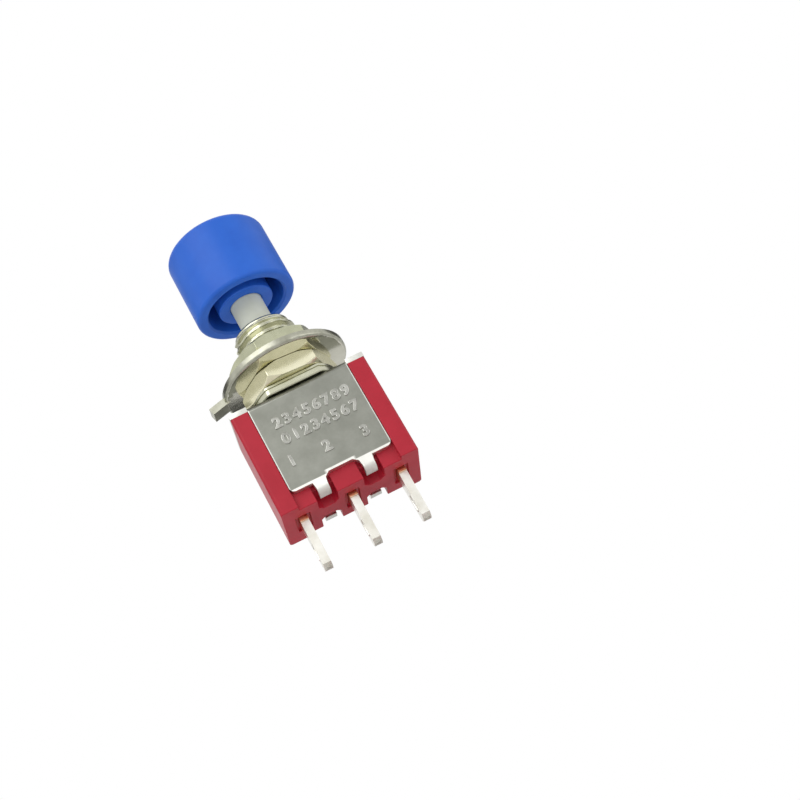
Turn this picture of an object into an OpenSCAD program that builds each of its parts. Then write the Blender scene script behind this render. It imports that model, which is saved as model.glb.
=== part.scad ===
// Miniature changeover push switch with a threaded bushing.
// Z = 0 is the seat of the bushing on the frame, +Z runs out of the button.

/* [Case] */
// Length of the moulded case along the terminal row
case_length = 13.0; // [12:0.1:14]
// Thickness of the case over its end pillars
case_depth = 6.8; // [6:0.1:7.6]
// Depth from the frame top to the terminal face
body_height = 10.8; // [10.6:0.1:12]
// Thickness of the case floor under the cavity
floor_thickness = 1.6; // [1.2:0.1:2.2]
// Width of each end pillar seen beside the front plate
pillar_width = 1.65; // [1.2:0.05:2]
// Half-depth of the contact cavity
cavity_half_depth = 2.1; // [1.8:0.05:2.15]
// Wall between the cavity and the case ends
end_wall = 0.9; // [0.6:0.05:1.2]
// Break on the outer edges of the pillars
case_edge_break = 0.2; // [0.1:0.05:0.4]

/* [Frame] */
// Sheet thickness of the folded frame
sheet = 0.5; // [0.3:0.05:0.6]
// Height of the front and back plates
plate_height = 9.3; // [8:0.1:9.4]
// Depth the plates sit below the pillar faces
plate_inset = 0.1; // [0.05:0.05:0.2]
// Inside radius of the folds
fold_radius = 0.15; // [0.1:0.05:0.4]
// Width of each crimp tab
tab_width = 1.25; // [1:0.05:1.6]
// Offset of the crimp tabs from the middle
tab_offset = 2.2; // [1.8:0.1:2.6]
// Drop of the crimp tabs below the plate edge
tab_drop = 1.3; // [1:0.1:1.5]
// Rise of the plate edge between the crimp tabs
edge_rise = 0.35; // [0.2:0.05:0.6]
// Room round a crimp tab in its pocket
tab_room = 0.33; // [0.2:0.01:0.5]

/* [Bushing] */
// Outside diameter over the thread crests
thread_diameter = 5.95; // [5.5:0.05:6.4]
// Height of the bushing above the frame
bushing_height = 8.1; // [7:0.1:8.4]
// Diameter of the seat flange on the frame
flange_diameter = 8.4; // [7.6:0.1:9]
// Thickness of the seat flange
flange_thickness = 0.9; // [0.5:0.05:1.2]
// Length of the reduced nose above the thread
nose_length = 0.4; // [0.4:0.1:1.2]
// Diameter of the reduced nose
nose_diameter = 5.4; // [4.8:0.1:5.6]
// Diameter of the neck staked through the frame
neck_diameter = 4.7; // [4.5:0.1:4.9]
// Diameter of the staked flange under the frame
stake_diameter = 5.2; // [5:0.05:5.25]
// Thickness of the staked flange
stake_thickness = 0.4; // [0.3:0.05:0.6]
// Width of the keyway along the thread
keyway_width = 1.0; // [0.8:0.1:1.4]
// Depth of the keyway
keyway_depth = 0.35; // [0.2:0.05:0.45]
// Direction of the keyway and the locating tab, degrees
key_angle = 180; // [0:1:359]

/* [Button] */
// Diameter of the cap
cap_diameter = 9.8; // [9:0.1:11]
// Height of the cap
cap_height = 7.5; // [6:0.1:9]
// Height of the cap rim above the frame at rest
cap_rim_height = 11.2; // [10.8:0.1:13]
// Rounding of the cap edges
cap_round = 0.7; // [0.3:0.05:1]
// Diameter of the open skirt
skirt_bore = 7.6; // [6.8:0.1:8]
// Break on the mouth of the skirt
skirt_break = 0.2; // [0.1:0.05:0.4]
// Depth of the groove round the cap hub
skirt_depth = 5.2; // [3:0.1:5.6]
// Diameter of the cap hub
hub_diameter = 5.4; // [4.4:0.1:5.8]
// Step from the rim up to the hub face
hub_recess = 0.15; // [0.1:0.05:1]
// Diameter of the plunger above the bushing
plunger_diameter = 3.1; // [2.8:0.05:3.2]
// Depth of the plunger in the cap hub
plunger_grip = 4.6; // [3:0.1:5.2]
// Full travel of the button
travel = 2.5; // [2:0.1:2.8]

/* [Hardware] */
// Size of both nuts across the flats
nut_across_flats = 8.0; // [7.5:0.1:8.5]
// Thickness of the nut next to the case
lower_nut_thickness = 1.6; // [1.2:0.05:2]
// Thickness of the second nut
upper_nut_thickness = 1.5; // [1.2:0.05:2]
// Turn of the nut next to the case, degrees
lower_nut_turn = 6; // [0:1:59]
// Turn of the second nut, degrees
upper_nut_turn = 10; // [0:1:59]
// Outside diameter of the locating washer
washer_diameter = 12.1; // [11:0.1:13]
// Thickness of the locating washer
washer_thickness = 0.7; // [0.5:0.05:1]
// Rounding of the lower rim of the locating washer
washer_round = 0.3; // [0.1:0.05:0.4]
// Width of the locating tab
washer_tab_width = 1.5; // [1:0.1:2]
// Reach of the locating tab past the rim
washer_tab_reach = 1.55; // [1:0.05:2]
// Downward set of the locating tab, degrees
washer_tab_set = 14; // [0:1:30]
// Outside diameter of the toothed lock washer
lock_diameter = 8.5; // [8:0.1:9]
// Sheet thickness of the lock washer
lock_sheet = 0.4; // [0.3:0.05:0.5]
// Number of teeth in the lock washer
lock_teeth = 10; // [8:1:14]
// Twist of each tooth, degrees
tooth_twist = 16; // [10:1:25]

/* [Contacts] */
// Distance between neighbouring terminals
pitch = 4.7; // [4.5:0.05:5.1]
// Sheet thickness of the terminals
terminal_sheet = 0.76; // [0.6:0.02:0.9]
// Width of a terminal where it leaves the case
terminal_width = 2.0; // [1.6:0.1:2.2]
// Length of a terminal below the case
terminal_length = 4.8; // [4.4:0.1:6]
// Extra width of the terminal shoulder at the case
shoulder = 0.35; // [0.2:0.05:0.6]
// Width of a terminal at its tip
terminal_tip = 1.15; // [0.8:0.05:1.4]
// Width of the wire hole
wire_hole = 0.85; // [0.6:0.05:1]
// Length of the wire hole
wire_hole_length = 1.7; // [1.2:0.1:2]
// Depth of the middle of the wire hole below the case
wire_hole_drop = 3.0; // [2.4:0.1:3.4]
// Thickness of the moving blade
blade_sheet = 0.3; // [0.2:0.05:0.4]
// Swing of the blade for full travel, degrees
blade_swing = 6.5; // [5:0.1:8]
// Height of the blade underside at rest
blade_height = -4.7; // [-5.2:0.05:-4.4]
// Distance of the contacts from the middle
contact_offset = 3.1; // [2.8:0.1:3.4]
// Diameter of the contact rivets
rivet_diameter = 1.5; // [1.2:0.1:1.8]
// Height of each contact head
rivet_head = 0.4; // [0.3:0.05:0.5]

/* [Hidden] */
running = 0.05;
over = 1;
seat_gap = 0.02;
eps = 0.01;
full_turn = 360;
half_turn = 180;
right_angle = 90;
$fn = 72;
hex_sides = 6;
coil_lift = 1.8;
coil_bead = 1.2;
coil_riser = 0.8;
coil_facets = 16;
coil_sides = 40;

half_length = case_length / 2;
half_depth = case_depth / 2;
plate_outer = half_depth - plate_inset;
plate_inner = plate_outer - sheet;
core_face = plate_inner - seat_gap;
fold_room = fold_radius + seat_gap;
case_top = -sheet - seat_gap;
case_bottom = -body_height;
cavity_floor = case_bottom + floor_thickness;
cavity_half_length = half_length - end_wall;
plate_recess = case_length - 2 * pillar_width;
plate_width = plate_recess - 2 * running;
plate_lobe = 0.5;
edge_ramp = 0.45;
fold_bend = fold_radius + sheet;

seat_thickness = 0.6;
seat_top = -sheet - stake_thickness - seat_gap;
seat_bottom = seat_top - seat_thickness;
seat_ledge = 0.3;
seat_half_length = cavity_half_length + seat_ledge;
seat_half_depth = cavity_half_depth + seat_ledge;

bore_radius = plunger_diameter / 2 + running;
collar_radius = 1.95;
counterbore_radius = collar_radius + running;
collar_thickness = 0.9;
counterbore_top = 4.6;
collar_top = counterbore_top - seat_gap;
collar_bottom = collar_top - collar_thickness;
shank_radius = 1.35;
shank_clearance = 0.45;
spring_bore_radius = 0.95;
spring_bore_top = 1.6;
plunger_top = cap_rim_height + hub_recess + plunger_grip;
plunger_tip_break = 0.3;

pocket_width = tab_width + 2 * tab_room;
pocket_depth = 1.9;
pocket_top = -plate_height + 0.2;
pocket_wall = 0.35;
pocket_roof = cavity_floor - 0.45;
pocket_floor_break = 0.45;
root_recess = 0.25;
root_room = 0.3;
shoulder_drop = 0.35;
neck_drop = 0.9;
tab_reach = 1.15;

blade_top = blade_height + blade_sheet;
shank_bottom = blade_top - pitch * tan(blade_swing) + travel + shank_clearance;
pivot_x = -pitch;
pivot_radius = terminal_sheet / 2;
pivot_height = blade_height - seat_gap - pivot_radius;
swing_drop = (pitch + contact_offset) * tan(blade_swing);
upper_face = blade_top + rivet_head;
lower_face = blade_height - rivet_head;
contact_dome_room = 0.12;
nc_arm_bottom = upper_face + seat_gap + rivet_head;
no_arm_top = lower_face - swing_drop - contact_dome_room - rivet_head;
arm_start = 2.0;
no_arm_end = contact_offset + 0.75;
nut_bore_radius = thread_diameter / 2 + running;
tooth_length = 0.62;
tooth_width = 0.8;
tooth_inner = nut_bore_radius + running;
tooth_root = 0.45;
lock_half = tooth_width / 2 * sin(tooth_twist) + lock_sheet / 2 * cos(tooth_twist);
lower_nut_bottom = flange_thickness + seat_gap;
washer_bottom = lower_nut_bottom + lower_nut_thickness + seat_gap;
lock_middle = washer_bottom + washer_thickness + seat_gap + lock_half;
upper_nut_bottom = lock_middle + lock_half + seat_gap;

// A box centred on x and y, standing on z = 0.
module block(sx, sy, sz)
{
    translate([-sx / 2, -sy / 2, 0])
        cube([sx, sy, sz]);
}

// A coil of joined half-turns between two flat end rings, standing on z = 0.
module coil(mean_radius, wire, turns, height)
{
    lift = coil_lift * wire;
    bead = coil_bead * wire;
    rise = (height - 2 * lift) / turns;
    tilt = asin(rise / (4 * mean_radius));
    reach = mean_radius * cos(tilt);
    for (k = [0 : turns - 1])
    {
        translate([0, 0, lift + (k + 0.25) * rise])
            rotate([0, tilt, 0])
                half_ring(mean_radius, wire);
        translate([0, 0, lift + (k + 0.75) * rise])
            rotate([0, -tilt, 0])
                rotate([0, 0, half_turn])
                    half_ring(mean_radius, wire);
        translate([-reach, 0, lift + (k + 0.5) * rise])
            sphere(d = bead, $fn = coil_facets);
    }
    for (k = [0 : turns])
        translate([reach, 0, lift + k * rise])
            sphere(d = bead, $fn = coil_facets);
    for (z = [0, height - wire])
        translate([0, 0, z + wire / 2])
            rotate_extrude($fn = coil_sides)
                translate([mean_radius, 0])
                    circle(d = wire, $fn = coil_facets);
    for (z = [wire / 2, height - lift])
        translate([reach, 0, z])
            cylinder(d = coil_riser * wire, h = lift - wire / 2, $fn = coil_facets);
}

module half_ring(mean_radius, wire)
{
    rotate_extrude(angle = half_turn, $fn = coil_sides)
        translate([mean_radius, 0])
            circle(d = wire, $fn = coil_facets);
}

module button_cap()
{
    hub_bottom = cap_rim_height + hub_recess;
    socket = plunger_diameter / 2 + seat_gap;
    lip = cap_round / 2;
    color([0.16, 0.36, 0.8])
        difference()
        {
            translate([0, 0, cap_rim_height])
                rotate_extrude()
                {
                    translate([cap_diameter / 2 - cap_round, cap_height - cap_round])
                        intersection()
                        {
                            circle(r = cap_round);
                            square(cap_round);
                        }
                    translate([cap_diameter / 2 - lip, lip])
                        intersection()
                        {
                            circle(r = lip);
                            translate([0, -lip])
                                square(lip);
                        }
                    square([cap_diameter / 2 - cap_round, cap_height]);
                    translate([0, lip])
                        square([cap_diameter / 2, cap_height - lip - cap_round]);
                    square([cap_diameter / 2 - lip, cap_height - cap_round]);
                }
            translate([0, 0, cap_rim_height - eps])
                difference()
                {
                    union()
                    {
                        cylinder(d = skirt_bore, h = skirt_depth + eps);
                        cylinder(d1 = skirt_bore + 2 * skirt_break, d2 = skirt_bore, h = skirt_break);
                    }
                    cylinder(d = hub_diameter, h = skirt_depth + 2 * eps);
                }
            translate([0, 0, cap_rim_height - eps])
                cylinder(d = hub_diameter + eps, h = hub_recess + eps);
            translate([0, 0, hub_bottom - eps])
                cylinder(r = socket, h = plunger_grip + seat_gap + eps);
        }
}

module plunger()
{
    tip_bottom = plunger_top - plunger_tip_break;
    tip_diameter = plunger_diameter - 2 * plunger_tip_break;
    color([0.85, 0.87, 0.8])
        difference()
        {
            union()
            {
                translate([0, 0, collar_bottom])
                    cylinder(d = plunger_diameter, h = tip_bottom - collar_bottom);
                translate([0, 0, tip_bottom - eps])
                    cylinder(d1 = plunger_diameter, d2 = tip_diameter, h = plunger_tip_break + eps);
                translate([0, 0, collar_bottom])
                    cylinder(r = collar_radius, h = collar_thickness);
                translate([0, 0, shank_bottom])
                    cylinder(r = shank_radius, h = collar_bottom - shank_bottom + eps);
            }
            translate([0, 0, shank_bottom - eps])
                cylinder(r = spring_bore_radius, h = spring_bore_top - shank_bottom + eps);
        }
}

module bushing()
{
    chamfer = 0.3;
    thread_top = bushing_height - nose_length;
    color([0.66, 0.65, 0.55])
        difference()
        {
            rotate_extrude()
                polygon([
                    [0, seat_top + seat_gap],
                    [stake_diameter / 2, seat_top + seat_gap],
                    [stake_diameter / 2, -sheet],
                    [neck_diameter / 2, -sheet],
                    [neck_diameter / 2, 0],
                    [flange_diameter / 2, 0],
                    [flange_diameter / 2, flange_thickness],
                    [thread_diameter / 2, flange_thickness],
                    [thread_diameter / 2, thread_top - chamfer],
                    [nose_diameter / 2, thread_top + chamfer / 2],
                    [nose_diameter / 2, bushing_height - chamfer / 2],
                    [nose_diameter / 2 - chamfer / 2, bushing_height],
                    [0, bushing_height]
                ]);
            translate([0, 0, counterbore_top - eps])
                cylinder(r = bore_radius, h = bushing_height);
            translate([0, 0, bushing_height - chamfer])
                cylinder(r1 = bore_radius, r2 = bore_radius + chamfer + eps, h = chamfer + eps);
            translate([0, 0, seat_top - over])
                cylinder(r = counterbore_radius, h = counterbore_top - seat_top + over);
            rotate([0, 0, key_angle])
                translate([thread_diameter / 2 - keyway_depth, -keyway_width / 2, flange_thickness])
                    cube([over, keyway_width, bushing_height]);
        }
}

// Outline of a front or back plate below the fold, x across and y down.
module plate_outline()
{
    lobe = plate_lobe;
    half = plate_width / 2;
    inner = tab_offset - tab_width / 2;
    ramp = inner - edge_ramp;
    difference()
    {
        union()
        {
            translate([-half, -plate_height + lobe])
                square([plate_width, plate_height - lobe - fold_radius - sheet]);
            translate([-half + lobe, -plate_height])
                square([plate_width - 2 * lobe, lobe + eps]);
            for (s = [-1, 1])
                translate([s * (half - lobe), -plate_height + lobe])
                    circle(r = lobe);
        }
        polygon([
            [-inner, -plate_height - eps],
            [-ramp, -plate_height + edge_rise],
            [ramp, -plate_height + edge_rise],
            [inner, -plate_height - eps]
        ]);
    }
}

module frame_side()
{
    bend = fold_bend;
    crimp_z = -plate_height - tab_drop + bend;
    translate([0, -plate_inner, 0])
        rotate([right_angle, 0, 0])
            linear_extrude(sheet)
                plate_outline();
    translate([-plate_width / 2, -plate_inner + fold_radius, -bend])
        rotate([right_angle, 0, right_angle])
            linear_extrude(plate_width)
                difference()
                {
                    intersection()
                    {
                        circle(r = bend);
                        translate([-bend - eps, 0])
                            square([bend + eps, bend]);
                    }
                    circle(r = fold_radius);
                }
    for (s = [-1, 1])
    {
        translate([s * tab_offset - tab_width / 2, -plate_outer, crimp_z - eps])
            cube([tab_width, sheet, -plate_height - crimp_z + edge_rise + eps]);
        translate([s * tab_offset - tab_width / 2, -plate_inner + fold_radius, crimp_z])
            rotate([right_angle, 0, right_angle])
                linear_extrude(tab_width)
                    difference()
                    {
                        intersection()
                        {
                            circle(r = bend);
                            translate([-bend - eps, -bend])
                                square([bend + eps, bend]);
                        }
                        circle(r = fold_radius);
                    }
        translate([s * tab_offset - tab_width / 2, -plate_inner + fold_radius - eps, crimp_z - bend])
            cube([tab_width, tab_reach - bend, sheet]);
    }
}

module frame()
{
    ear = half_length - plate_width / 2;
    color([0.55, 0.55, 0.52])
        difference()
        {
            union()
            {
                translate([0, 0, -sheet])
                    block(plate_width, 2 * (plate_outer - fold_bend + eps), sheet);
                for (s = [-1, 1])
                {
                    translate([s * (half_length - ear / 2), 0, -sheet])
                        block(ear, 2 * plate_outer, sheet);
                    rotate([0, 0, s > 0 ? 0 : half_turn])
                        frame_side();
                }
            }
            translate([0, 0, -over])
                cylinder(d = neck_diameter + 2 * seat_gap, h = 2 * over);
        }
}

// A crimp pocket in the floor, its mouth at y = 0 and its end toward +y.
module crimp_pocket()
{
    half = pocket_width / 2;
    tip = half - pocket_floor_break;
    translate([-half, -eps, 0])
        cube([pocket_width, pocket_wall + eps, pocket_top - case_bottom + eps]);
    linear_extrude(pocket_roof - case_bottom + eps)
        polygon([
            [-half, -eps],
            [-half, pocket_depth - pocket_floor_break],
            [-tip, pocket_depth],
            [tip, pocket_depth],
            [half, pocket_depth - pocket_floor_break],
            [half, -eps]
        ]);
}

module case()
{
    height = case_top - case_bottom;
    middle = plate_recess / 2;
    slot_width = terminal_width + 2 * seat_gap;
    root_width = terminal_width + shoulder + 2 * root_room;
    color([0.7, 0.14, 0.2])
        difference()
        {
            translate([0, 0, case_bottom])
                linear_extrude(height)
                    polygon([
                        [-half_length + case_edge_break, -half_depth],
                        [-middle, -half_depth],
                        [-middle, -core_face],
                        [middle, -core_face],
                        [middle, -half_depth],
                        [half_length - case_edge_break, -half_depth],
                        [half_length, -half_depth + case_edge_break],
                        [half_length, half_depth - case_edge_break],
                        [half_length - case_edge_break, half_depth],
                        [middle, half_depth],
                        [middle, core_face],
                        [-middle, core_face],
                        [-middle, half_depth],
                        [-half_length + case_edge_break, half_depth],
                        [-half_length, half_depth - case_edge_break],
                        [-half_length, -half_depth + case_edge_break]
                    ]);
            translate([0, 0, cavity_floor])
                block(2 * cavity_half_length, 2 * cavity_half_depth, height);
            translate([0, 0, seat_bottom - seat_gap])
                block(2 * seat_half_length + 2 * running, 2 * seat_half_depth + 2 * running, height);
            translate([0, 0, seat_top])
                block(stake_diameter + 2 * running, case_depth, height);
            for (a = [0, half_turn])
                rotate([0, 0, a])
                    translate([-middle, 0, 0])
                        rotate([right_angle, 0, right_angle])
                            linear_extrude(plate_recess)
                                polygon([
                                    [core_face - fold_room, case_top + eps],
                                    [core_face + eps, case_top + eps],
                                    [core_face + eps, case_top - fold_room]
                                ]);
            for (x = [-pitch, 0, pitch])
                translate([x, 0, case_bottom - eps])
                {
                    block(terminal_sheet + 2 * seat_gap, slot_width, floor_thickness + over);
                    block(terminal_sheet + 2 * root_room, root_width, root_recess + eps);
                }
            for (a = [0, half_turn])
                rotate([0, 0, a])
                    for (x = [-tab_offset, tab_offset])
                        translate([x, -core_face, case_bottom - eps])
                            crimp_pocket();
        }
}

module spring_seat()
{
    color([0.2, 0.2, 0.22])
        difference()
        {
            translate([0, 0, seat_bottom])
                block(2 * seat_half_length, 2 * seat_half_depth, seat_thickness);
            translate([0, 0, seat_bottom - eps])
                cylinder(r = shank_radius + 2 * running, h = seat_thickness + 2 * eps);
        }
}

module return_spring()
{
    wire = 0.28;
    color([0.75, 0.75, 0.72])
        translate([0, 0, seat_top + seat_gap])
            coil(collar_radius - wire / 2 - running, wire, 5, collar_bottom - seat_top - 2 * seat_gap);
}

module contact_spring()
{
    wire = 0.22;
    color([0.75, 0.75, 0.72])
        translate([0, 0, blade_top + seat_gap])
            coil(spring_bore_radius - wire / 2 - 2 * running, wire, 8, spring_bore_top - blade_top - 2 * seat_gap);
}

module blade_spring()
{
    wire = 0.2;
    mean_radius = 0.8;
    color([0.75, 0.75, 0.72])
        translate([pivot_x / 2, 0, cavity_floor + seat_gap])
            coil(mean_radius, wire, 6, blade_height - cavity_floor - 2 * seat_gap);
}

module contact_blade()
{
    tail = 0.65;
    overhang = 0.8;
    blade_width = 2.4;
    slot_room = 0.2;
    tongue = terminal_width / 2;
    color([0.72, 0.55, 0.3])
        difference()
        {
            translate([pivot_x - tail, -blade_width / 2, blade_height])
                cube([tail + pitch + contact_offset + overhang, blade_width, blade_sheet]);
            translate([pivot_x, 0, blade_height - eps])
                block(terminal_sheet + slot_room, tongue + slot_room, blade_sheet + 2 * eps);
            translate([contact_offset, 0, blade_height - eps])
                cylinder(r = rivet_diameter / 4, h = blade_sheet + 2 * eps);
        }
}

module moving_contact()
{
    color([0.86, 0.86, 0.84])
        translate([contact_offset, 0, 0])
        {
            translate([0, 0, blade_top])
                cylinder(d = rivet_diameter, h = rivet_head);
            translate([0, 0, lower_face])
                cylinder(d = rivet_diameter, h = rivet_head);
            translate([0, 0, blade_height - eps])
                cylinder(r = rivet_diameter / 4, h = blade_sheet + 2 * eps);
        }
}

// A contact with a domed face, its head on z = 0 and its stem below.
module domed_contact(stem)
{
    dome_radius = 3;
    intersection()
    {
        cylinder(d = rivet_diameter, h = rivet_head);
        translate([0, 0, rivet_head - dome_radius])
            sphere(r = dome_radius, $fn = 120);
    }
    translate([0, 0, -stem])
        cylinder(r = rivet_diameter / 4, h = stem + eps);
}

module nc_contact()
{
    color([0.86, 0.86, 0.84])
        translate([contact_offset, 0, nc_arm_bottom])
            rotate([180, 0, 0])
                domed_contact(terminal_sheet / 2);
}

module no_contact()
{
    color([0.86, 0.86, 0.84])
        translate([contact_offset, 0, no_arm_top])
            domed_contact(terminal_sheet / 2);
}

// The solder lug of a terminal, below the case, in the y-z plane.
module lug()
{
    half = terminal_width / 2;
    tip = terminal_tip / 2;
    break_edge = 0.3;
    hole_z = case_bottom - wire_hole_drop;
    translate([0, 0, case_bottom - shoulder_drop])
        block(terminal_sheet, terminal_width + shoulder, shoulder_drop + root_recess - seat_gap);
    translate([-terminal_sheet / 2, 0, 0])
        rotate([right_angle, 0, right_angle])
            linear_extrude(terminal_sheet)
                difference()
                {
                    polygon([
                        [-half, case_bottom + eps],
                        [half, case_bottom + eps],
                        [half, case_bottom - neck_drop],
                        [tip + break_edge / 2, case_bottom - terminal_length + break_edge],
                        [tip - break_edge, case_bottom - terminal_length],
                        [break_edge - tip, case_bottom - terminal_length],
                        [-tip - break_edge / 2, case_bottom - terminal_length + break_edge],
                        [-half, case_bottom - neck_drop]
                    ]);
                    translate([-wire_hole / 2, hole_z - wire_hole_length / 2 + wire_hole / 2])
                        square([wire_hole, wire_hole_length - wire_hole]);
                    for (s = [-1, 1])
                        translate([0, hole_z + s * (wire_hole_length - wire_hole) / 2])
                            circle(d = wire_hole, $fn = 32);
                }
}

module terminal_common()
{
    tongue_width = terminal_width / 2;
    tongue_rise = 0.4;
    color([0.85, 0.84, 0.78])
        translate([pivot_x, 0, 0])
        {
            lug();
            translate([0, 0, case_bottom])
                block(terminal_sheet, terminal_width, pivot_height - case_bottom);
            translate([0, 0, pivot_height])
                rotate([right_angle, 0, 0])
                    cylinder(r = pivot_radius, h = terminal_width, center = true);
            translate([0, 0, pivot_height])
                block(terminal_sheet, tongue_width, blade_top + tongue_rise - pivot_height);
        }
}

module terminal_no()
{
    color([0.85, 0.84, 0.78])
        difference()
        {
            union()
            {
                lug();
                translate([0, 0, case_bottom])
                    block(terminal_sheet, terminal_width, no_arm_top - case_bottom);
                translate([-terminal_sheet / 2, -terminal_width / 2, no_arm_top - terminal_sheet])
                    cube([no_arm_end + terminal_sheet / 2, terminal_width, terminal_sheet]);
            }
            translate([contact_offset, 0, no_arm_top - terminal_sheet / 2 - eps])
                cylinder(r = rivet_diameter / 4, h = terminal_sheet);
        }
}

module terminal_nc()
{
    arm_length = pitch + terminal_sheet / 2 - arm_start;
    color([0.85, 0.84, 0.78])
        difference()
        {
            union()
            {
                translate([pitch, 0, 0])
                    lug();
                translate([pitch, 0, case_bottom])
                    block(terminal_sheet, terminal_width, nc_arm_bottom + terminal_sheet - case_bottom);
                translate([arm_start, -terminal_width / 2, nc_arm_bottom])
                    cube([arm_length, terminal_width, terminal_sheet]);
            }
            translate([contact_offset, 0, nc_arm_bottom - eps])
                cylinder(r = rivet_diameter / 4, h = terminal_sheet / 2 + 2 * eps);
        }
}

module lock_washer()
{
    ring_inner = tooth_inner + tooth_root;
    color([0.72, 0.7, 0.6])
    {
        translate([0, 0, lock_middle - lock_sheet / 2])
            difference()
            {
                cylinder(d = lock_diameter, h = lock_sheet);
                translate([0, 0, -eps])
                    cylinder(r = ring_inner, h = lock_sheet + 2 * eps);
            }
        for (k = [0 : lock_teeth - 1])
            rotate([0, 0, k * full_turn / lock_teeth])
                translate([tooth_inner, 0, lock_middle])
                    rotate([tooth_twist, 0, 0])
                        translate([0, -tooth_width / 2, -lock_sheet / 2])
                            cube([tooth_length, tooth_width, lock_sheet]);
    }
}

// A hexagon nut with both faces chamfered, standing on z = 0.
module hex_nut(thickness, turn)
{
    chamfer_angle = 40;
    corner = nut_across_flats / sqrt(3);
    face = nut_across_flats / 2 + 2 * running;
    drop = (corner - face) * tan(chamfer_angle);
    lead = 0.2;
    difference()
    {
        intersection()
        {
            rotate([0, 0, turn])
                cylinder(r = corner, h = thickness, $fn = hex_sides);
            rotate_extrude()
                polygon([
                    [0, 0],
                    [face, 0],
                    [corner, drop],
                    [corner, thickness - drop],
                    [face, thickness],
                    [0, thickness]
                ]);
        }
        translate([0, 0, -eps])
            cylinder(r = nut_bore_radius, h = thickness + 2 * eps);
        translate([0, 0, -eps])
            cylinder(r1 = nut_bore_radius + lead, r2 = nut_bore_radius, h = lead);
        translate([0, 0, thickness - lead + eps])
            cylinder(r1 = nut_bore_radius, r2 = nut_bore_radius + lead, h = lead);
    }
}

module hex_nut_lower()
{
    color([0.8, 0.78, 0.66])
        translate([0, 0, lower_nut_bottom])
            hex_nut(lower_nut_thickness, lower_nut_turn);
}

module hex_nut_upper()
{
    color([0.8, 0.78, 0.66])
        translate([0, 0, upper_nut_bottom])
            hex_nut(upper_nut_thickness, upper_nut_turn);
}

module locating_washer()
{
    hole = nut_bore_radius + 2 * running;
    rim = washer_diameter / 2;
    root = 0.5;
    key_reach = 0.35;
    key_root = 0.3;
    key_width = keyway_width - 4 * running;
    color([0.6, 0.59, 0.52])
        translate([0, 0, washer_bottom])
        {
            rotate_extrude()
            {
                translate([hole, 0])
                    square([rim - washer_round - hole, washer_thickness]);
                translate([hole, washer_round])
                    square([rim - hole, washer_thickness - washer_round]);
                translate([rim - washer_round, washer_round])
                    intersection()
                    {
                        circle(r = washer_round);
                        translate([0, -washer_round])
                            square(washer_round);
                    }
            }
            rotate([0, 0, key_angle])
            {
                translate([hole - key_reach, -key_width / 2, 0])
                    cube([key_reach + key_root, key_width, washer_thickness]);
                translate([rim - root, -washer_tab_width / 2, washer_thickness])
                    rotate([0, washer_tab_set, 0])
                        translate([0, 0, -washer_thickness])
                            cube([root + washer_tab_reach, washer_tab_width, washer_thickness]);
            }
        }
}

button_cap();
plunger();
bushing();
frame();
case();
spring_seat();
return_spring();
contact_spring();
blade_spring();
contact_blade();
moving_contact();
nc_contact();
no_contact();
terminal_common();
terminal_no();
terminal_nc();
hex_nut_lower();
locating_washer();
lock_washer();
hex_nut_upper();
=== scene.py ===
from math import cos, pi, radians, sin, tau

import bmesh
import bpy
from mathutils import Matrix, Vector

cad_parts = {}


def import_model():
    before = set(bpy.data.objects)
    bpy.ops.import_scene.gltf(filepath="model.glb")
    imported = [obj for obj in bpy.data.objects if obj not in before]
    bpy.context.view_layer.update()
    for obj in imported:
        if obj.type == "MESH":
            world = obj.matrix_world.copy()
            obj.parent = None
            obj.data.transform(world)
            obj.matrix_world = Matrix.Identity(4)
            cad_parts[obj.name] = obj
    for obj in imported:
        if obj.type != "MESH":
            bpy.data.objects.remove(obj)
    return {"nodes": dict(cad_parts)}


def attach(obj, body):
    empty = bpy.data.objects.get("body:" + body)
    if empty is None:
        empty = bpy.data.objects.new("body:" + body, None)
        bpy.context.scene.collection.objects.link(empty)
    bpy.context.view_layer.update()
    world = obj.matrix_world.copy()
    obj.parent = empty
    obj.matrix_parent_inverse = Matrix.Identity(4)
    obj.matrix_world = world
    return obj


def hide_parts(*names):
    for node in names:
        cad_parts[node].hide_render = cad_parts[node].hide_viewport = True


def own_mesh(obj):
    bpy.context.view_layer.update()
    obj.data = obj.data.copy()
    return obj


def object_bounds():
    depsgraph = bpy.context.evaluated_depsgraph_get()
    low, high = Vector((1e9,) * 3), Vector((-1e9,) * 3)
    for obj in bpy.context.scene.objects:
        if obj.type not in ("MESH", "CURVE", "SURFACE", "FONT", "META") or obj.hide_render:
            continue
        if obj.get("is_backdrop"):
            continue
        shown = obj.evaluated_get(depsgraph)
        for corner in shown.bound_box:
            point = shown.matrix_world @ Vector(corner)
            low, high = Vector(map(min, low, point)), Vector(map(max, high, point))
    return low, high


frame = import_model()
NODES = frame["nodes"]
MM = 0.001


def save_bounds(key, store={}):
    low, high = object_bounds()
    store[key] = [[float(v) for v in low], [float(v) for v in high]]


save_bounds("loaded")

# ---------------------------------------------------------------- dimensions, in millimetres

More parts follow.
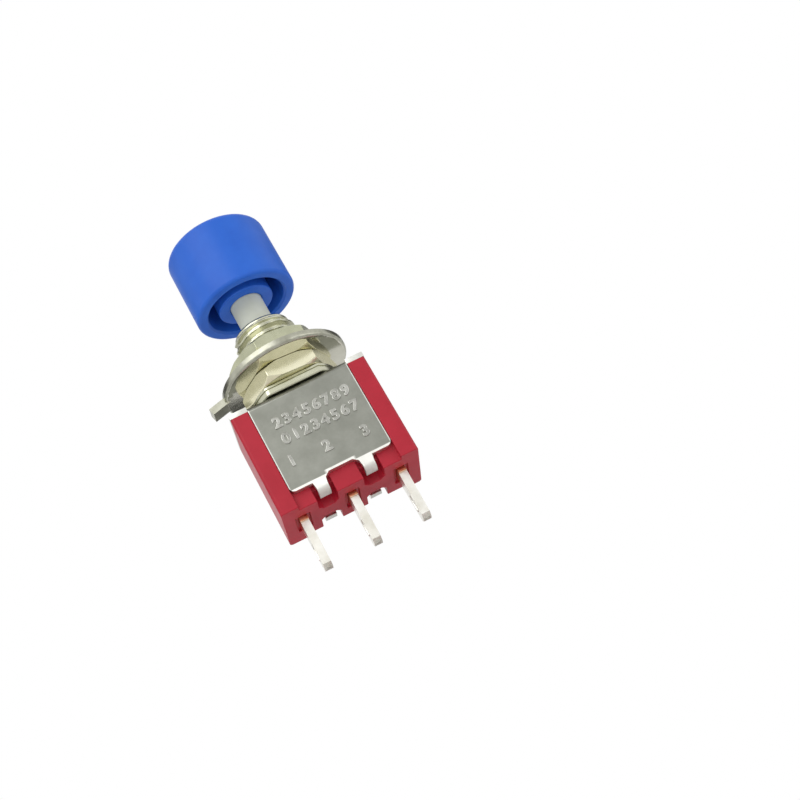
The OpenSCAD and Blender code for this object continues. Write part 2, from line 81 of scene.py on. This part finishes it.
# bushing
THREAD_PITCH = 0.75
THREAD_RADIUS = 2.975
THREAD_DEPTH = 0.42
THREAD_CREST = 1.3  # above 1, so that the crest is flat
THREAD_FLANK = 3.4  # fall of the flank per pitch
THREAD_RUNOUT = 0.3
THREAD_RINGS = 16  # rings to a turn
BUSHING_TOP = 8.1
NOSE_LENGTH = 0.4
NOSE_RADIUS = 2.7
NOSE_ROUND = 0.3
FLANGE_RADIUS = 4.2
FLANGE_TOP = 0.9
FLANGE_FLAT = 3.34
FLANGE_EDGE = 0.08
GROOVE_DEPTH = 0.1
NECK_RADIUS = 2.35
STAKE_RADIUS = 2.6
STAKE_BOTTOM = -0.9
BORE_RADIUS = 1.6
BORE_CHAMFER = 0.3
COUNTERBORE_RADIUS = 2.0
COUNTERBORE_TOP = 4.6
KEY_ANGLE = radians(180)
KEY_HALF_WIDTH = 0.5
KEY_FLOOR = THREAD_RADIUS - 0.35

# cap
CAP_RADIUS = 4.9
CAP_RIM = 11.2
CAP_TOP = 18.7
CAP_ROUND = 0.7
CAP_LIP = 0.35
SKIRT_RADIUS = 3.8
SKIRT_BREAK = 0.2
SKIRT_DRAFT = 0.06
SKIRT_TOP = 16.4
HUB_RADIUS = 2.7
HUB_FACE = 11.35
HUB_ROUND = 0.15
HUB_DRAFT = 0.03
SOCKET_RADIUS = 1.57
SOCKET_TOP = 15.97
SOCKET_CHAMFER = 0.12
GATE_MARK = [(0.75, 0.0), (0.62, 0.07), (0.3, 0.08), (0.22, 0.03), (0, 0.03)]  # radius, depth

# frame
FRAME_UNDERSIDE = -0.5
PLATE_FACE = -3.3
PLATE_BOTTOM = -9.3
NOTCH_TOP = -8.95
NOTCH_HALF = 1.25
TAB_OFFSET = 2.2
TAB_WIDTH_SHARE = 0.86
TAB_DROP_SHARE = 0.88
PAINTED_HIGHLIGHT_WIDTH = 0.25  # width of a painted highlight, a pale line along the plate's lower edge
PAINTED_HIGHLIGHT_FADE = 0.07
PAINTED_HIGHLIGHT_SIDES = (4.69, 4.75)

# terminals
# painted reflection: the orange band on the lugs just below the case
ROOT_REFLECTION_BAND = (-11.2, -11.08)

# washer
RIM_FADE = (5.78, 5.95)

# raised numbers
EMBOSS_HEIGHT = 0.08
EMBOSS_BEVEL = 0.045
EMBOSS_SWELL = 0.03
EMBOSS_SPACING = 1.32
EMBOSS_SINK = 0.02

# ---------------------------------------------------------------- node helpers

FINE = 0.00002  # depth of the grain that a bump shows, in metres


class Shader:
    """A small builder for node materials."""

    def __init__(self, name):
        self.mat = bpy.data.materials.new(name)
        self.mat.use_nodes = True
        self.tree = self.mat.node_tree
        self.bsdf = self.tree.nodes["Principled BSDF"]
        self.coords = self.tree.nodes.new("ShaderNodeTexCoord")

    def node(self, kind, **values):
        made = self.tree.nodes.new(kind)
        for key, value in values.items():
            if hasattr(made, key):
                setattr(made, key, value)
            else:
                made.inputs[key.replace("_", " ")].default_value = value
        return made

    def link(self, source, target):
        self.tree.links.new(source, target)

    def set(self, **values):
        for key, value in values.items():
            self.bsdf.inputs[key.replace("_", " ")].default_value = value

    def noise(self, scale, detail=3.0, rough=0.5):
        made = self.node("ShaderNodeTexNoise", Scale=scale, Detail=detail, Roughness=rough)
        self.link(self.coords.outputs["Object"], made.inputs["Vector"])
        return made.outputs["Fac"]

    def ramp(self, source, stops):
        made = self.node("ShaderNodeValToRGB")
        for element, (place, colour) in zip(made.color_ramp.elements, stops):
            element.position = place
            element.color = (*colour, 1.0)
        self.link(source, made.inputs["Fac"])
        return made.outputs["Color"]

    def scaled(self, source, low, high):
        made = self.node("ShaderNodeMapRange", To_Min=low, To_Max=high)
        self.link(source, made.inputs["Value"])
        return made.outputs["Result"]

    def between(self, source, low, high):
        """0 at one value and 1 at another."""
        made = self.node("ShaderNodeMapRange", From_Min=low, From_Max=high)
        self.link(source, made.inputs["Value"])
        return made.outputs["Result"]

    def part(self, output, axis):
        """One component of a vector socket."""
        made = self.node("ShaderNodeSeparateXYZ")
        self.link(output, made.inputs["Vector"])
        return made.outputs[axis]

    def along(self, axis):
        """Place along an axis of the row frame."""
        return self.part(self.coords.outputs["Object"], axis)

    def facing(self, axis):
        """One component of the surface's direction."""
        return self.part(self.node("ShaderNodeNewGeometry").outputs["Normal"], axis)

    def maths(self, operation, a, b=0.0):
        made = self.node("ShaderNodeMath", operation=operation)
        for socket, value in zip(made.inputs, (a, b)):
            if isinstance(value, (int, float)):
                socket.default_value = value
            else:
                self.link(value, socket)
        return made.outputs["Value"]

    def blend(self, mask, first, second):
        made = self.node("ShaderNodeMix", data_type="RGBA")
        colours = [socket for socket in made.inputs if socket.type == "RGBA"]
        self.link(mask, made.inputs[0])
        self.link(first, colours[0])
        self.link(second, colours[1])
        return next(socket for socket in made.outputs if socket.type == "RGBA")

    def radius(self):
        """Distance from the switch's axis."""
        squares = [self.maths("MULTIPLY", self.along(axis), self.along(axis)) for axis in "XY"]
        return self.maths("SQRT", self.maths("ADD", *squares))

    def bump(self, source, strength, distance=FINE):
        made = self.node("ShaderNodeBump", Strength=strength, Distance=distance)
        self.link(source, made.inputs["Height"])
        self.link(made.outputs["Normal"], self.bsdf.inputs["Normal"])

    def base(self, source):
        self.link(source, self.bsdf.inputs["Base Color"])

    def rough(self, source):
        self.link(source, self.bsdf.inputs["Roughness"])

    def surface(self, mask, first, second):
        """Two surfaces mixed by a mask, as the material's output."""
        mix = self.node("ShaderNodeMixShader")
        self.link(mask, mix.inputs["Fac"])
        self.link(first, mix.inputs[1])
        self.link(second, mix.inputs[2])
        self.link(mix.outputs["Shader"], self.tree.nodes["Material Output"].inputs["Surface"])


# ---------------------------------------------------------------- materials


def plastic(name, dark, light, roughness, gloss=0.4, glow=0.0):
    s = Shader(name)
    s.base(s.ramp(s.noise(260, 4, 0.6), [(0.3, dark), (0.7, light)]))
    s.rough(s.scaled(s.noise(900, 3), roughness - 0.06, roughness + 0.08))
    s.set(Specular_IOR_Level=gloss)
    if glow:
        depth = (0.6 * MM,) * 3
        s.set(Subsurface_Weight=glow, Subsurface_Radius=depth, Subsurface_Scale=1.0)
    s.bump(s.noise(2600, 2), 0.12)
    return s.mat


def plated(name, dark, light, roughness):
    s = Shader(name)
    s.base(s.ramp(s.noise(420, 5, 0.65), [(0.28, dark), (0.72, light)]))
    s.rough(s.scaled(s.noise(1800, 4, 0.6), roughness - 0.08, roughness + 0.12))
    s.set(Metallic=1.0)
    s.bump(s.noise(2880, 3, 0.6), 0.15)
    return s.mat


def terminal_plating():
    """Silver plate, with a painted reflection of the red case: an orange band at the shoulder by the
    case.
    """
    s = Shader("terminal_plating")
    silver = s.ramp(s.noise(700, 4), [(0.3, (0.72, 0.7, 0.62)), (0.7, (0.9, 0.89, 0.84))])
    # painted reflection of the red case, with a painted highlight, as an orange band
    root_reflection = s.ramp(s.noise(1500, 3), [(0.3, (0.72, 0.34, 0.14)), (0.7, (0.95, 0.62, 0.38))])
    band = s.between(s.along("Z"), *(place * MM for place in ROOT_REFLECTION_BAND))
    s.base(s.blend(band, silver, root_reflection))
    s.rough(s.scaled(s.noise(1600, 4), 0.22, 0.4))
    s.set(Metallic=1.0)
    s.bump(s.noise(2400, 3), 0.15)
    return s.mat


def frame_plating():
    """Fine-grained grey plate, with a painted highlight along its outline and on its crimped tabs."""
    s = Shader("frame_sheet")
    grain = s.noise(420, 5, 0.65)
    plain = s.ramp(grain, [(0.28, (0.22, 0.225, 0.195)), (0.72, (0.3, 0.305, 0.27))])
    # painted highlight: the pale colour laid on the lower edge, the notch, the side edges and the
    # tabs
    highlight_colour = s.ramp(s.noise(900, 3), [(0.3, (0.74, 0.74, 0.69)), (0.7, (0.88, 0.88, 0.83))])
    height = s.along("Z")
    across = s.maths("ABSOLUTE", s.along("X"))

    def below(edge):
        top = edge + PAINTED_HIGHLIGHT_WIDTH
        return s.between(height, top * MM, (top - PAINTED_HIGHLIGHT_FADE) * MM)

    in_notch = s.between(across, (NOTCH_HALF + PAINTED_HIGHLIGHT_WIDTH) * MM, NOTCH_HALF * MM)
    notch = s.maths("MULTIPLY", below(NOTCH_TOP), in_notch)
    edges = s.maths("MAXIMUM", below(PLATE_BOTTOM), notch)
    # painted highlight on the side edges, where they don't face up
    upright = s.maths("MULTIPLY", s.between(s.facing("Z"), 0.6, 0.3), 0.75)
    near_side = s.between(across, *(place * MM for place in PAINTED_HIGHLIGHT_SIDES))
    sides = s.maths("MULTIPLY", near_side, upright)
    s.base(s.blend(s.maths("MAXIMUM", edges, sides), plain, highlight_colour))
    s.rough(s.scaled(s.noise(1800, 4, 0.6), 0.28, 0.46))
    s.set(Metallic=1.0)
    s.bump(s.noise(2600, 3, 0.6), 0.2)
    return s.mat


def mark_plating():
    """Stamped numbers: tops like the plate, with painted highlights on their flanks."""
    s = Shader("mark_painted_highlight")
    top = s.ramp(s.noise(900, 4), [(0.3, (0.3, 0.3, 0.27)), (0.7, (0.5, 0.5, 0.46))])
    # painted highlight: the pale colour of the flanks
    flank = s.ramp(s.noise(1600, 3), [(0.35, (0.6, 0.6, 0.55)), (0.65, (0.95, 0.95, 0.92))])
    s.base(s.blend(s.between(s.facing("Y"), -0.97, -0.75), top, flank))
    s.rough(s.scaled(s.noise(1800, 4), 0.16, 0.3))
    s.set(Metallic=1.0)
    s.bump(s.noise(1500, 3), 0.3, 1.5 * FINE)
    return s.mat


def washer_plating():
    """Polished nickel faces with a duller sheared rim."""
    s = Shader("washer_nickel")
    grain = s.noise(420, 5, 0.65)
    face = s.ramp(grain, [(0.28, (0.68, 0.67, 0.56)), (0.72, (0.82, 0.81, 0.7))])
    rim = s.ramp(s.noise(1400, 4), [(0.28, (0.34, 0.34, 0.27)), (0.72, (0.48, 0.48, 0.4))])
    edge = s.between(s.radius(), *(place * MM for place in RIM_FADE))
    s.base(s.blend(edge, face, rim))
    polish = s.scaled(s.noise(1800, 4), 0.06, 0.14)
    s.rough(s.maths("ADD", polish, s.maths("MULTIPLY", edge, 0.2)))
    s.set(Metallic=1.0)
    s.bump(s.noise(2400, 3), 0.1)
    return s.mat


BLUE = plastic("cap_blue", (0.016, 0.11, 0.55), (0.022, 0.135, 0.62), 0.42, gloss=0.3, glow=0.1)
WHITE = plastic("plunger_white", (0.6, 0.62, 0.5), (0.7, 0.72, 0.62), 0.5)
RED = plastic("case_red", (0.4, 0.012, 0.028), (0.48, 0.018, 0.038), 0.38, gloss=0.3)
DARK = plastic("seat_dark", (0.04, 0.04, 0.05), (0.07, 0.07, 0.08), 0.5)
SHEET = frame_plating()
MARK = mark_plating()
NUT = plated("nut_nickel", (0.8, 0.77, 0.54), (0.93, 0.9, 0.68), 0.18)
# painted shade: the upper nut has a darker copy of the lower nut's nickel
NUT_SHADED = plated("nut_nickel_painted_shade", (0.42, 0.43, 0.3), (0.56, 0.57, 0.41), 0.26)
WASHER = washer_plating()
BARREL = plated("bushing_nickel", (0.5, 0.5, 0.37), (0.6, 0.6, 0.47), 0.2)
COPPER = plated("blade_copper", (0.6, 0.4, 0.18), (0.7, 0.48, 0.24), 0.3)
SILVER = plated("contact_silver", (0.7, 0.7, 0.68), (0.82, 0.82, 0.8), 0.25)
STEEL = plated("spring_steel", (0.45, 0.45, 0.45), (0.6, 0.6, 0.6), 0.3)
TERMINAL = terminal_plating()

PAINT = {
    "button_cap": BLUE,
    "plunger": WHITE,
    "bushing": BARREL,
    "frame": SHEET,
    "case": RED,
    "spring_seat": DARK,
    "return_spring": STEEL,
    "contact_spring": STEEL,
    "blade_spring": STEEL,
    "contact_blade": COPPER,
    "moving_contact": SILVER,
    "nc_contact": SILVER,
    "no_contact": SILVER,
    "terminal_common": TERMINAL,
    "terminal_no": TERMINAL,
    "terminal_nc": TERMINAL,
    "lock_washer": WASHER,
    "hex_nut_lower": NUT,
    "hex_nut_upper": NUT_SHADED,
    "locating_washer": WASHER,
}


def paint(mesh, material):
    mesh.materials.clear()
    mesh.materials.append(material)


for name, material in PAINT.items():
    paint(NODES[name].data, material)

# ---------------------------------------------------------------- mesh helpers


def link_new(name, data):
    made = bpy.data.objects.new(name, data)
    bpy.context.scene.collection.objects.link(made)
    return made


def add(name, mesh, material, body, replaced=()):
    """A visible piece that rides on a body and stands for the CAD nodes it replaces."""
    piece = link_new(name, mesh)
    paint(mesh, material)
    weighted = piece.modifiers.new("flat_faces", "WEIGHTED_NORMAL")
    weighted.weight = 100
    weighted.keep_sharp = True
    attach(piece, body)
    if replaced:
        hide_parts(*replaced)
    return piece


def smoothed(bm, mesh, sharp):
    """Writes a bmesh back with smooth faces, and sharp edges above an angle in degrees."""
    for face in bm.faces:
        face.smooth = True
    bm.to_mesh(mesh)
    bm.free()
    mesh.set_sharp_from_angle(angle=radians(sharp))


def lathe(rings, segments, sharp=30):
    """A closed body of revolution; each ring is (radius or function of the angle, height) in mm.

    The outline either starts and ends on the axis or comes back to its first ring.
    """
    points, faces = [], []
    for radius, height in rings:
        for k in range(segments):
            angle = tau * k / segments
            r = radius(angle) if callable(radius) else radius
            points.append((r * cos(angle) * MM, r * sin(angle) * MM, height * MM))
    count = len(rings)
    on_axis = not callable(rings[0][0]) and rings[0][0] == 0
    for i in range(count - 1 if on_axis else count):
        a, b = i * segments, (i + 1) % count * segments
        for k in range(segments):
            j = (k + 1) % segments
            faces.append((a + k, a + j, b + j, b + k))
    mesh = bpy.data.meshes.new("lathe")
    mesh.from_pydata(points, [], faces)
    bm = bmesh.new()
    bm.from_mesh(mesh)
    bmesh.ops.remove_doubles(bm, verts=bm.verts, dist=0.0002 * MM)
    bmesh.ops.recalc_face_normals(bm, faces=bm.faces)
    smoothed(bm, mesh, sharp)
    return mesh


def arc(centre, radius, start, end, steps=6):
    """Rings along part of a circle; the angles are in degrees from the outward direction."""
    x, z = centre
    turns = [radians(start + (end - start) * k / steps) for k in range(steps + 1)]
    return [(x + radius * cos(t), z + radius * sin(t)) for t in turns]


def is_sharp(edge, angle=28):
    return len(edge.link_faces) == 2 and edge.calc_face_angle(0) > radians(angle)


def round_edges(mesh, width):
    """Merges flat facets and rounds the sharp edges of a mesh, in place."""
    bm = bmesh.new()
    bm.from_mesh(mesh)
    bmesh.ops.remove_doubles(bm, verts=bm.verts, dist=0.0005 * MM)
    bmesh.ops.dissolve_limit(bm, angle_limit=radians(1), verts=bm.verts, edges=bm.edges)
    bmesh.ops.bevel(
        bm, geom=[edge for edge in bm.edges if is_sharp(edge)], offset=width * MM,
        segments=3, profile=0.5, affect="EDGES", clamp_overlap=True,
    )
    smoothed(bm, mesh, 30)


def rounded_copy(node, name, material, body, width):
    """A CAD piece with its sharp edges broken."""
    mesh = NODES[node].data.copy()
    round_edges(mesh, width)
    add(name, mesh, material, body, (node,))


def slimmer_tabs(point):
    """The crimp tabs a little shorter and narrower below the plate's edge."""
    if point.z > PLATE_BOTTOM - 0.01:
        return point
    middle = TAB_OFFSET if point.x > 0 else -TAB_OFFSET
    x = middle + (point.x - middle) * TAB_WIDTH_SHARE
    z = PLATE_BOTTOM + (point.z - PLATE_BOTTOM) * TAB_DROP_SHARE
    return Vector((x, point.y, z))


def folded_frame():
    """The folded sheet with slightly slimmer crimp tabs."""
    mesh = NODES["frame"].data.copy()
    for vertex in mesh.vertices:
        vertex.co = slimmer_tabs(vertex.co / MM) * MM
    round_edges(mesh, 0.07)
    add("frame_folded", mesh, SHEET, "body", ("frame",))


def coil(node, name, body):
    """A copy of a spring from the CAD model, in steel, riding on a body."""
    low, high = (f(v.co.z for v in NODES[node].data.vertices) / MM for f in (min, max))
    piece = add(name, NODES[node].data.copy(), STEEL, body, (node,))
    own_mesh(piece)


def threaded_bushing():
    """The bushing with its helical thread, cut by the keyway, on a seat flange with two flats."""
    thread_top = BUSHING_TOP - NOSE_LENGTH

    def in_key(angle):
        off = (angle - KEY_ANGLE + pi) % tau - pi
        return abs(off) < KEY_HALF_WIDTH / THREAD_RADIUS

    def thread(height):
        fade = min(1.0, max(0.0, (thread_top - height) / THREAD_RUNOUT))

        def radius(angle):
            phase = (height / THREAD_PITCH - angle / tau) % 1.0
            flank = min(1.0, max(0.0, THREAD_CREST - abs(phase - 0.5) * THREAD_FLANK))
            r = THREAD_RADIUS - THREAD_DEPTH * (1.0 - flank)
            r = r * fade + min(r, NOSE_RADIUS) * (1.0 - fade)
            return min(r, KEY_FLOOR) if in_key(angle) else r
        return radius

    def flatted(inset):
        """The flange's outline with its two flats, set in by a distance."""
        radius, flat = FLANGE_RADIUS - inset, FLANGE_FLAT - inset
        return lambda angle: min(radius, flat / max(abs(sin(angle)), 0.01))

    rings = [
        (COUNTERBORE_RADIUS, STAKE_BOTTOM),
        (STAKE_RADIUS, STAKE_BOTTOM),
        (STAKE_RADIUS, FRAME_UNDERSIDE),
        (NECK_RADIUS, FRAME_UNDERSIDE),
        (NECK_RADIUS, 0.0),
        (flatted(FLANGE_EDGE), 0.0),
        (flatted(0.0), FLANGE_EDGE),
        (flatted(0.0), 0.46),
        (flatted(GROOVE_DEPTH), 0.5),
        (flatted(GROOVE_DEPTH), 0.58),
        (flatted(0.0), 0.62),
        (flatted(0.0), FLANGE_TOP - FLANGE_EDGE),
        (flatted(FLANGE_EDGE), FLANGE_TOP),
    ]
    height = FLANGE_TOP
    while height < thread_top + 0.01:
        rings.append((thread(height), height))
        height += THREAD_PITCH / THREAD_RINGS
    rings += arc((NOSE_RADIUS - NOSE_ROUND, BUSHING_TOP - NOSE_ROUND), NOSE_ROUND, 0, 90)
    rings += [
        (BORE_RADIUS + BORE_CHAMFER, BUSHING_TOP),
        (BORE_RADIUS, BUSHING_TOP - BORE_CHAMFER),
        (BORE_RADIUS, COUNTERBORE_TOP),
        (COUNTERBORE_RADIUS, COUNTERBORE_TOP),
    ]
    add("bushing_threaded", lathe(rings, 144, 38), BARREL, "body", ("bushing",))


def moulded_cap():
    """The cap with its skirt, hub and plunger socket, and a gate mark in the top."""
    rings = [
        (0, SOCKET_TOP),
        (SOCKET_RADIUS, SOCKET_TOP),
        (SOCKET_RADIUS, HUB_FACE + SOCKET_CHAMFER),
        (SOCKET_RADIUS + SOCKET_CHAMFER, HUB_FACE),
    ]
    rings += arc((HUB_RADIUS - HUB_ROUND, HUB_FACE + HUB_ROUND), HUB_ROUND, -90, 0, 4)
    rings += [
        (HUB_RADIUS - HUB_DRAFT, SKIRT_TOP),
        (SKIRT_RADIUS - SKIRT_DRAFT, SKIRT_TOP),
        (SKIRT_RADIUS, CAP_RIM + SKIRT_BREAK),
        (SKIRT_RADIUS + SKIRT_BREAK, CAP_RIM),
    ]
    rings += arc((CAP_RADIUS - CAP_LIP, CAP_RIM + CAP_LIP), CAP_LIP, -90, 0)
    rings += arc((CAP_RADIUS - CAP_ROUND, CAP_TOP - CAP_ROUND), CAP_ROUND, 0, 90, 8)
    rings += [(radius, CAP_TOP - depth) for radius, depth in GATE_MARK]
    add("cap_moulding", lathe(rings, 160), BLUE, "button", ("button_cap",))


def embossed(text, x, z, size):
    """The mesh of a raised stamped number on the front plate."""
    curve = bpy.data.curves.new("mark_" + text, "FONT")
    curve.body = text
    curve.size = size * MM
    curve.align_x = "CENTER"
    curve.align_y = "CENTER"
    curve.extrude = EMBOSS_HEIGHT * MM
    curve.bevel_depth = EMBOSS_BEVEL * MM
    curve.bevel_resolution = 2
    curve.space_character = EMBOSS_SPACING
    curve.offset = EMBOSS_SWELL * MM
    shape = link_new("shape", curve)
    place = Matrix.Translation(Vector((x, PLATE_FACE + EMBOSS_SINK, z)) * MM)
    shape.matrix_world = place @ Matrix.Rotation(radians(90), 4, "X")
    depsgraph = bpy.context.evaluated_depsgraph_get()
    mesh = bpy.data.meshes.new_from_object(shape.evaluated_get(depsgraph))
    mesh.transform(shape.matrix_world)
    bpy.data.objects.remove(shape)
    return mesh


# ---------------------------------------------------------------- pieces

rounded_copy("case", "case_moulding", RED, "body", 0.07)
rounded_copy("plunger", "plunger_moulding", WHITE, "button", 0.06)
folded_frame()
rounded_copy("lock_washer", "lock_washer_stamped", WASHER, "body", 0.05)
rounded_copy("locating_washer", "locating_washer_stamped", WASHER, "body", 0.07)
rounded_copy("hex_nut_lower", "nut_lower", NUT, "body", 0.05)
rounded_copy("hex_nut_upper", "nut_upper", NUT_SHADED, "body", 0.05)
for key in ("common", "no", "nc"):
    rounded_copy("terminal_" + key, "lug_" + key, TERMINAL, "body", 0.05)

# each spring's CAD node, its new name and its body
coil("return_spring", "return_coil", "body")
coil(
    "contact_spring", "contact_coil", "button",
)
coil("blade_spring", "blade_coil", "body")

threaded_bushing()
moulded_cap()

MARKS = [  # text, x, z, size
    ("23456789", 0.25, -2.78, 1.42),
    ("01234567", 0.3, -4.5, 1.42),
    ("1", -3.46, -6.65, 1.45),
    ("2", -0.2, -6.8, 1.45),
    ("3", 3.3, -7.1, 1.45),
]
for k, mark in enumerate(MARKS):
    piece = add(f"plate_mark_{k}", embossed(*mark), MARK, "body")

# ---------------------------------------------------------------- camera

IMAGE = 800
FOCAL_PIXELS = 1469.4
CAMERA_PLACE = Vector((-13.73, -116.17, -60.31)) * MM
CAMERA_TARGET = Vector((7.95, 0.38, -4.17)) * MM
CAMERA_ROLL = radians(30.67)


def looking(place, target, roll=0.0):
    """A matrix at a place whose -Z looks at the target, rolled about the line of sight."""
    forward = (target - place).normalized()
    side = forward.cross(Vector((0, 0, 1))).normalized()
    level = side.cross(forward)
    up = level * cos(roll) + side * sin(roll)
    right = forward.cross(up)
    return Matrix.Translation(place) @ Matrix((right, up, -forward)).transposed().to_4x4()


def camera():
    """The photo's camera, which stands low and rolled."""
    data = bpy.data.cameras.new("camera")
    data.sensor_width = 36.0
    data.lens = data.sensor_width * FOCAL_PIXELS / IMAGE
    data.clip_start = 0.005
    made = link_new("camera", data)
    made.matrix_world = looking(CAMERA_PLACE, CAMERA_TARGET, CAMERA_ROLL)
    bpy.context.scene.camera = made


camera()

# ---------------------------------------------------------------- light and surroundings

ORIGIN = Vector((0, 0, 0))
CARD_GLOW = 0.05
CARD_FADE = 0.7  # share of a card's half-width that is fully dark
SKY_GREYS = (0.35, 0.9)
SKY_STRENGTH = 0.8
FLOOR_HALF = 1.0  # in metres
FLOOR_GAP = 0.0002


def lamp(name, place, size, power):
    """A round soft lamp that points at the origin."""
    data = bpy.data.lights.new(name, "AREA")
    data.shape = "DISK"
    data.size = size * MM
    data.energy = power
    made = link_new(name, data)
    made.matrix_world = looking(Vector(place) * MM, ORIGIN)


def flat_mesh(name, x, y, z, material):
    """A rectangle about the Z axis, from its half sizes and its height."""
    mesh = bpy.data.meshes.new(name)
    mesh.from_pydata([(-x, -y, z), (x, -y, z), (x, y, z), (-x, y, z)], [], [(0, 1, 2, 3)])
    mesh.materials.append(material)
    return mesh


def card(name, place, size):
    """A dark studio card that metal reflects; its edges fade, and the camera doesn't see it."""
    halves = [length / 2 * MM for length in size]
    s = Shader(name)
    dark = s.node("ShaderNodeEmission", Strength=CARD_GLOW)
    clear = s.node("ShaderNodeBsdfTransparent")
    fade = [
        s.between(s.maths("ABSOLUTE", s.along(axis)), half, half * CARD_FADE)
        for axis, half in zip("XY", halves)
    ]
    mask = s.maths("MULTIPLY", *fade)
    s.surface(mask, clear.outputs["BSDF"], dark.outputs["Emission"])
    made = link_new(name, flat_mesh(name, *halves, 0, s.mat))
    made.matrix_world = looking(Vector(place) * MM, ORIGIN)
    made.visible_camera = False
    made.visible_shadow = False
    made.visible_diffuse = False
    made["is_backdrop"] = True


def world():
    """White where camera, glossy and transmission rays see it, and a soft grey studio for the other
    light.
    """
    made = bpy.data.worlds.new("studio")
    bpy.context.scene.world = made
    made.use_nodes = True
    tree = made.node_tree
    tree.nodes.clear()
    node, link = tree.nodes.new, tree.links.new
    path = node("ShaderNodeLightPath")
    coords = node("ShaderNodeTexCoord")
    split = node("ShaderNodeSeparateXYZ")
    link(coords.outputs["Generated"], split.inputs["Vector"])
    ramp = node("ShaderNodeValToRGB")
    for element, grey in zip(ramp.color_ramp.elements, SKY_GREYS):
        element.color = (grey, grey, grey, 1)
    shift = node("ShaderNodeMapRange")
    shift.inputs["From Min"].default_value = -1.0
    shift.inputs["From Max"].default_value = 1.0
    link(split.outputs["Z"], shift.inputs["Value"])
    link(shift.outputs["Result"], ramp.inputs["Fac"])
    soft = node("ShaderNodeBackground")
    link(ramp.outputs["Color"], soft.inputs["Color"])
    soft.inputs["Strength"].default_value = SKY_STRENGTH
    white = node("ShaderNodeBackground")
    white.inputs["Color"].default_value = (1, 1, 1, 1)
    seen = path.outputs["Is Camera Ray"]
    for kind in ("Is Glossy Ray", "Is Transmission Ray"):
        either = node("ShaderNodeMath")
        either.operation = "MAXIMUM"
        link(seen, either.inputs[0])
        link(path.outputs[kind], either.inputs[1])
        seen = either.outputs["Value"]
    mix = node("ShaderNodeMixShader")
    link(seen, mix.inputs["Fac"])
    link(soft.outputs["Background"], mix.inputs[1])
    link(white.outputs["Background"], mix.inputs[2])
    link(mix.outputs["Shader"], node("ShaderNodeOutputWorld").inputs["Surface"])


def floor():
    """A pale floor at the lug tips that is open from below, where the camera stands."""
    s = Shader("floor_paper")
    s.base(s.ramp(s.noise(40, 3), [(0.3, (0.86, 0.86, 0.86)), (0.7, (0.9, 0.9, 0.9))]))
    s.set(Roughness=0.8)
    clear = s.node("ShaderNodeBsdfTransparent")
    side = s.node("ShaderNodeNewGeometry")
    path = s.node("ShaderNodeLightPath")
    hidden = s.maths("MAXIMUM", side.outputs["Backfacing"], path.outputs["Is Shadow Ray"])
    s.surface(hidden, s.bsdf.outputs["BSDF"], clear.outputs["BSDF"])
    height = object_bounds()[0][2] - FLOOR_GAP
    link_new("floor", flat_mesh("floor", FLOOR_HALF, FLOOR_HALF, height, s.mat))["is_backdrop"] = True


bpy.context.scene.view_settings.view_transform = "Standard"
world()
floor()
lamp("key", (-90, -160, 120), 200, 0.17)
lamp("fill", (160, -120, -20), 200, 0.08)
lamp("front", (-40, -180, -60), 160, 0.05)
card("card_right", (80, 59, 50), (80, 70))
card("card_left", (-80, 59, 50), (80, 70))
# painted shade: a dark card standing for the switch's shadow on the floor, which the washer's
# underside reflects
card("card_floor_shadow", (-4, 33, -15.2), (22, 24))

save_bounds("finished")
